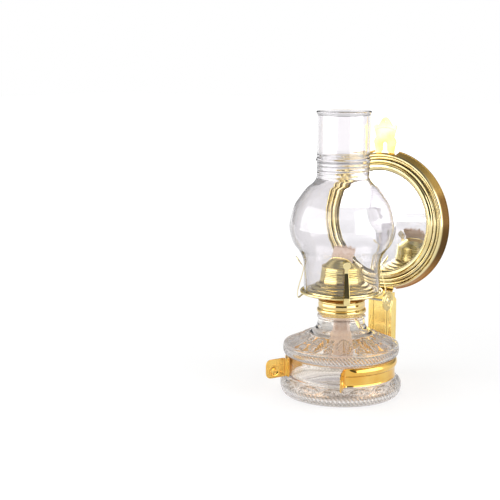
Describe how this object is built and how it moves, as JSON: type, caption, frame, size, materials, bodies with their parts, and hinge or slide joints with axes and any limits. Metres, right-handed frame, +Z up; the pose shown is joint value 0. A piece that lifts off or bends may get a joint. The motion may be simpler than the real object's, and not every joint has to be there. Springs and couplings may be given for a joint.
{
  "type": "wall bracket oil lamp",
  "caption": "Flat-wick oil lamp with a moulded glass font, bulb chimney and brass burner, clipped on a wall bracket that carries a round mirror reflector.",
  "frame": {"origin": "on the lamp's axis at the underside of the font", "axes": "+Z up along the lamp's axis, +Y towards the wall, +X towards the wick knob"},
  "size_m": [0.1484, 0.1567, 0.2842],
  "materials": {
    "font_glass": "clear pressed glass with moulded leaf and rope patterns",
    "chimney_glass": "thin clear blown glass",
    "gold_brass": "polished and lacquered, warm gold",
    "pale_brass": "polished, pale yellow",
    "dark_brass": "unpolished inner sheet",
    "wick_cotton": "woven cotton tape, frayed at the top",
    "steel_wire": "bright drawn steel",
    "mirror_glass": "silvered flat glass",
    "backing_steel": "thin tinned steel sheet, grey"
  },
  "bodies": {
    "font": {"font_glass": "font_glass", "font_collar": "gold_brass"},
    "burner": {"burner_base": "dark_brass", "burner_gallery": "pale_brass", "draft_plate": "dark_brass", "burner_dome": "pale_brass", "wick_tube": "dark_brass", "shaft_bush": "pale_brass", "prong_rivet_1": "pale_brass", "prong_rivet_2": "pale_brass", "prong_rivet_3": "pale_brass", "prong_rivet_4": "pale_brass"},
    "wick_raiser": {"knob_shaft": "steel_wire", "spur_wheel_left": "steel_wire", "spur_wheel_right": "steel_wire", "wick_knob": "pale_brass"},
    "wick": {"wick": "wick_cotton"},
    "prong_1": {"chimney_prong_1": "pale_brass"},
    "prong_2": {"chimney_prong_2": "pale_brass"},
    "prong_3": {"chimney_prong_3": "pale_brass"},
    "prong_4": {"chimney_prong_4": "pale_brass"},
    "chimney": {"chimney_glass": "chimney_glass"},
    "bracket": {"wall_bracket": "gold_brass", "clip_back": "gold_brass", "clip_standoff": "gold_brass", "clip_rivet": "gold_brass", "standoff_rivet_upper": "gold_brass", "standoff_rivet_lower": "gold_brass", "reflector_frame": "pale_brass", "mirror_glass": "mirror_glass", "mirror_backing": "backing_steel", "reflector_rivet_upper": "gold_brass", "reflector_rivet_lower": "gold_brass"},
    "clip_left": {"clip_arm_left": "gold_brass"},
    "clip_right": {"clip_arm_right": "gold_brass"}
  },
  "joints": [
    {"name": "burner_lift", "type": "slide", "parent": "font", "child": "burner", "axis": [0, 0, 1], "range_m": [0, 0.08]},
    {"name": "chimney_lift", "type": "slide", "parent": "burner", "child": "chimney", "axis": [0, 0, 1], "range_m": [0, 0.05]},
    {"name": "wick_knob_turn", "type": "hinge", "parent": "burner", "child": "wick_raiser", "pos_m": [0, 0.0064, 0.0994], "axis": [-1, 0, 0], "range_deg": [-146, 73]},
    {"name": "wick_raise", "type": "slide", "parent": "burner", "child": "wick", "axis": [0, 0, 1], "range_m": [-0.0121, 0.0061]},
    {"name": "prong_1_spring", "type": "hinge", "parent": "burner", "child": "prong_1", "pos_m": [0.02032, -0.02536, 0.1022], "axis": [0.7804, 0.6252, 0], "range_deg": [0, 4], "stiffness_Nm_per_rad": 0.6},
    {"name": "prong_2_spring", "type": "hinge", "parent": "burner", "child": "prong_2", "pos_m": [0.02536, 0.02032, 0.1022], "axis": [-0.6252, 0.7804, 0], "range_deg": [0, 4], "stiffness_Nm_per_rad": 0.6},
    {"name": "prong_3_spring", "type": "hinge", "parent": "burner", "child": "prong_3", "pos_m": [-0.02032, 0.02536, 0.1022], "axis": [-0.7804, -0.6252, 0], "range_deg": [0, 4], "stiffness_Nm_per_rad": 0.6},
    {"name": "prong_4_spring", "type": "hinge", "parent": "burner", "child": "prong_4", "pos_m": [-0.02536, -0.02032, 0.1022], "axis": [0.6252, -0.7804, 0], "range_deg": [0, 4], "stiffness_Nm_per_rad": 0.6},
    {"name": "bracket_turn", "type": "hinge", "parent": "font", "child": "bracket", "pos_m": [0, 0, 0.029], "axis": [0, 0, 1], "continuous": true},
    {"name": "clip_left_spread", "type": "hinge", "parent": "bracket", "child": "clip_left", "pos_m": [-0.01495, 0.05521, 0.0294], "axis": [0, 0, -1], "range_deg": [0, 14], "stiffness_Nm_per_rad": 1.5},
    {"name": "clip_right_spread", "type": "hinge", "parent": "bracket", "child": "clip_right", "pos_m": [0.01495, 0.05521, 0.0294], "axis": [0, 0, 1], "range_deg": [0, 14], "stiffness_Nm_per_rad": 1.5}
  ],
  "couplings": [
    {"joint": "wick_raise", "follows": "wick_knob_turn", "m_per_rad": 0.0047}
  ]
}
